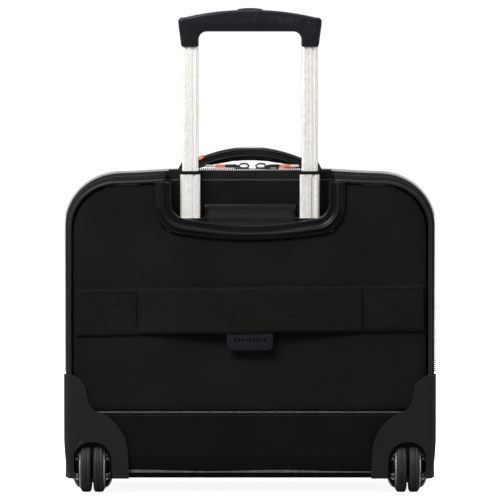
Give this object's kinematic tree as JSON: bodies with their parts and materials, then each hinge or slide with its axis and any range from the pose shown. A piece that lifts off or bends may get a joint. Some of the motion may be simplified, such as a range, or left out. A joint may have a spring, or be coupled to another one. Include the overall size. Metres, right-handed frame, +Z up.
{
  "type": "rolling laptop case",
  "caption": "Soft rolling laptop case on inline corner wheels, with a telescopic handle, a trolley band on the back and a fold-down front section.",
  "frame": {"origin": "middle of the case's footprint, on the floor", "axes": "+X to the right when the back is faced, +Y from the back (handle, wheels) to the front pocket, +Z up"},
  "size_m": [0.42, 0.2112, 0.5476],
  "materials": {
    "back_nylon": "ballistic nylon",
    "gusset_nylon": "nylon",
    "leatherette": "smooth leatherette",
    "piping": "covered cord",
    "webbing": "ribbed webbing",
    "label_leather": "soft leather",
    "zip_tape": "coil zip",
    "board": "sheet",
    "bezel_plastic": "satin gloss",
    "tray_plastic": "moulded",
    "guard_plastic": "fine grain",
    "dark_nylon": "moulded",
    "tube_aluminium": "satin anodised",
    "fixed_aluminium": "mill finish",
    "steel": "zinc plated",
    "grip_plastic": "satin",
    "insert_plastic": "satin",
    "tyre": "grooved",
    "hub_plastic": "metallic",
    "foot_rubber": "moulded",
    "lining": "padded lining",
    "handle_fabric": "padded nylon",
    "zip_metal": "dark nickel",
    "pull_rubber": "moulded"
  },
  "bodies": {
    "case": {"back_board": "board", "back_panel": "back_nylon", "lower_panel": "leatherette", "back_piping": "piping", "rear_gusset": "gusset_nylon", "laptop_zip": "zip_tape", "main_gusset": "gusset_nylon", "base_board": "board", "kick_panel": "leatherette", "section_zip_rear": "zip_tape", "trolley_band": "webbing", "band_patches": "webbing", "band_label": "label_leather", "handle_bezel": "bezel_plastic", "handle_tray": "tray_plastic", "fixed_tube_left": "fixed_aluminium", "fixed_tube_right": "fixed_aluminium", "tube_foot": "dark_nylon", "screws": "steel", "guard_left": "guard_plastic", "guard_right": "guard_plastic", "axles": "steel", "front_feet": "foot_rubber", "laptop_divider": "lining", "laptop_strap": "webbing", "tube_cover": "lining", "handle_anchors": "dark_nylon"},
    "handle_middle": {"middle_tube_left": "tube_aluminium", "middle_tube_right": "tube_aluminium", "middle_collars": "dark_nylon"},
    "handle_inner": {"inner_tube_left": "tube_aluminium", "inner_tube_right": "tube_aluminium", "grip_body": "grip_plastic", "grip_inserts": "insert_plastic", "tube_plugs": "dark_nylon", "button_spring": "steel"},
    "release_button": {"release_button": "grip_plastic", "push_rods": "steel"},
    "lock_pin_left": {"lock_pin_left": "steel"},
    "lock_pin_right": {"lock_pin_right": "steel"},
    "wheel_left_outer": {"tyre_left_outer": "tyre", "hub_left_outer": "hub_plastic"},
    "wheel_left_inner": {"tyre_left_inner": "tyre", "hub_left_inner": "hub_plastic"},
    "wheel_right_inner": {"tyre_right_inner": "tyre", "hub_right_inner": "hub_plastic"},
    "wheel_right_outer": {"tyre_right_outer": "tyre", "hub_right_outer": "hub_plastic"},
    "front_section": {"front_gusset": "gusset_nylon", "front_panel": "back_nylon", "front_pocket": "back_nylon", "front_piping": "piping", "section_zip_front": "zip_tape"},
    "laptop_slider_left": {"laptop_slider_left": "zip_metal"},
    "laptop_slider_right": {"laptop_slider_right": "zip_metal"},
    "laptop_pull_left": {"laptop_pull_left": "pull_rubber"},
    "laptop_pull_right": {"laptop_pull_right": "pull_rubber"},
    "section_slider": {"section_slider": "zip_metal"},
    "section_pull": {"section_pull": "pull_rubber"},
    "carry_handle": {"carry_handle": "handle_fabric"}
  },
  "joints": [
    {"name": "handle_middle_slide", "type": "slide", "parent": "case", "child": "handle_middle", "axis": [0, 0, 1], "range_m": [-0.0498, 0.195]},
    {"name": "handle_inner_slide", "type": "slide", "parent": "handle_middle", "child": "handle_inner", "axis": [0, 0, 1], "range_m": [-0.139, 0.095]},
    {"name": "release_press", "type": "slide", "parent": "handle_inner", "child": "release_button", "axis": [0, 0, -1], "range_m": [0, 0.003], "stiffness_N_per_m": 900, "springref_m": -0.003, "deforming": ["button_spring"]},
    {"name": "lock_left_retract", "type": "slide", "parent": "handle_inner", "child": "lock_pin_left", "axis": [1, 0, 0], "range_m": [0, 0.003]},
    {"name": "lock_right_retract", "type": "slide", "parent": "handle_inner", "child": "lock_pin_right", "axis": [-1, 0, 0], "range_m": [0, 0.003]},
    {"name": "wheel_left_outer_spin", "type": "hinge", "parent": "case", "child": "wheel_left_outer", "pos_m": [-0.178, -0.07237, 0.03], "axis": [1, 0, 0], "continuous": true},
    {"name": "wheel_left_inner_spin", "type": "hinge", "parent": "case", "child": "wheel_left_inner", "pos_m": [-0.178, -0.07237, 0.03], "axis": [1, 0, 0], "continuous": true},
    {"name": "wheel_right_inner_spin", "type": "hinge", "parent": "case", "child": "wheel_right_inner", "pos_m": [0.178, -0.07237, 0.03], "axis": [1, 0, 0], "continuous": true},
    {"name": "wheel_right_outer_spin", "type": "hinge", "parent": "case", "child": "wheel_right_outer", "pos_m": [0.178, -0.07237, 0.03], "axis": [1, 0, 0], "continuous": true},
    {"name": "front_section_fold", "type": "hinge", "parent": "case", "child": "front_section", "pos_m": [0, 0.09563, 0.0616], "axis": [-1, 0, 0], "range_deg": [0, 90]},
    {"name": "laptop_slider_left_slide", "type": "slide", "parent": "case", "child": "laptop_slider_left", "axis": [-1, 0, 0], "range_m": [0, 0.1]},
    {"name": "laptop_slider_right_slide", "type": "slide", "parent": "case", "child": "laptop_slider_right", "axis": [1, 0, 0], "range_m": [0, 0.085]},
    {"name": "section_slider_slide", "type": "slide", "parent": "case", "child": "section_slider", "axis": [-1, 0, 0], "range_m": [0, 0.12]},
    {"name": "laptop_pull_left_swing", "type": "hinge", "parent": "laptop_slider_left", "child": "laptop_pull_left", "pos_m": [-0.01645, -0.05437, 0.3694], "axis": [0, 1, 0], "range_deg": [0, 95]},
    {"name": "laptop_pull_right_swing", "type": "hinge", "parent": "laptop_slider_right", "child": "laptop_pull_right", "pos_m": [0.02185, -0.05437, 0.3694], "axis": [0, -1, 0], "range_deg": [0, 95]},
    {"name": "section_pull_swing", "type": "hinge", "parent": "section_slider", "child": "section_pull", "pos_m": [0.0315, 0.04763, 0.3694], "axis": [0, -1, 0], "range_deg": [0, 95]},
    {"name": "carry_handle_tilt", "type": "hinge", "parent": "case", "child": "carry_handle", "pos_m": [0, -0.00038, 0.3712], "axis": [1, 0, 0], "range_deg": [-35, 35]}
  ],
  "couplings": [
    {"joint": "lock_left_retract", "follows": "release_press", "ratio": 1},
    {"joint": "lock_right_retract", "follows": "release_press", "ratio": 1}
  ]
}
